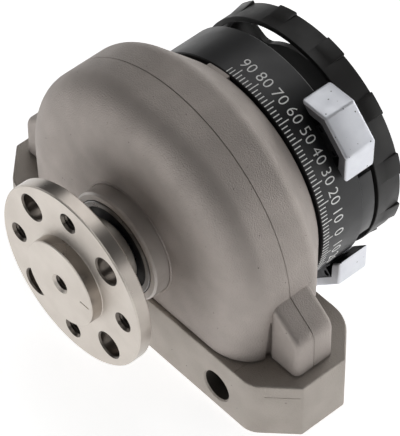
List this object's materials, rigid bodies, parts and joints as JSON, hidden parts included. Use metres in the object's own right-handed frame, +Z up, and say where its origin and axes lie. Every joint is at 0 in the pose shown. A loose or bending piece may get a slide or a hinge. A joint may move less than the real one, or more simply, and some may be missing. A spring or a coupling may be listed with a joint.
{
  "type": "pneumatic rotary actuator",
  "caption": "Pneumatic rotary vane actuator with a flanged output shaft, a domed housing on a mounting foot, an angle scale drum, adjustable end stops and a castellated rear guard.",
  "frame": {"origin": "centre of the output flange's front face, on the shaft axis", "axes": "-Y out of the output flange along the shaft, +X along the foot towards the stops, +Z up from the foot"},
  "size_m": [0.1062, 0.0813, 0.075],
  "materials": {
    "housing": "matt grey die casting with a fine grain",
    "foot": "matt machined casting, slightly warmer grey",
    "flange": "satin nickel",
    "collar": "dark grey coating",
    "bearing_steel": "ground and polished",
    "shaft_steel": "ground",
    "seal_rubber": "black rubber",
    "drum": "satin black with a white printed scale",
    "guard": "black moulded plastic",
    "stop": "bright die cast silver",
    "screw_steel": "blackened steel",
    "bright_steel": "bright steel",
    "vane": "reinforced plastic"
  },
  "bodies": {
    "housing": {"front_housing": "housing", "rear_housing": "housing", "housing_gasket": "seal_rubber", "mounting_foot": "foot", "foot_screws": "bright_steel", "housing_screws": "screw_steel", "seal_collar": "collar", "seal_ring": "bright_steel", "shaft_seal": "seal_rubber", "front_bearing_outer": "bearing_steel", "front_bearing_balls": "bearing_steel", "rear_bearing_outer": "bearing_steel", "rear_bearing_balls": "bearing_steel", "stator_segment": "vane", "stator_seal": "seal_rubber", "stator_pins": "bright_steel", "scale_drum": "drum", "drum_screws": "screw_steel", "rear_guard": "guard", "guard_screws": "screw_steel"},
    "output": {"output_flange": "flange", "output_shaft": "shaft_steel", "flange_grub_screws": "screw_steel", "front_bearing_inner": "bearing_steel", "rear_bearing_inner": "bearing_steel", "vane": "vane", "vane_key": "bright_steel", "vane_seal": "seal_rubber", "stop_lever": "shaft_steel", "lever_key": "bright_steel", "lever_washer": "bright_steel", "lever_screw": "screw_steel"},
    "upper_stop": {"upper_stop": "stop", "upper_stop_jaw": "bright_steel", "upper_stop_screws": "screw_steel", "upper_stop_buffer": "seal_rubber"},
    "lower_stop": {"lower_stop": "stop", "lower_stop_jaw": "bright_steel", "lower_stop_screws": "screw_steel", "lower_stop_buffer": "seal_rubber"}
  },
  "joints": [
    {"name": "output_swing", "type": "hinge", "parent": "housing", "child": "output", "pos_m": [0, 0, 0], "axis": [0, -1, 0], "range_deg": [-118, 118]},
    {"name": "upper_stop_adjust", "type": "hinge", "parent": "housing", "child": "upper_stop", "pos_m": [0, 0, 0], "axis": [0, -1, 0], "range_deg": [-12, 6]},
    {"name": "lower_stop_adjust", "type": "hinge", "parent": "housing", "child": "lower_stop", "pos_m": [0, 0, 0], "axis": [0, -1, 0], "range_deg": [-6, 12]}
  ]
}
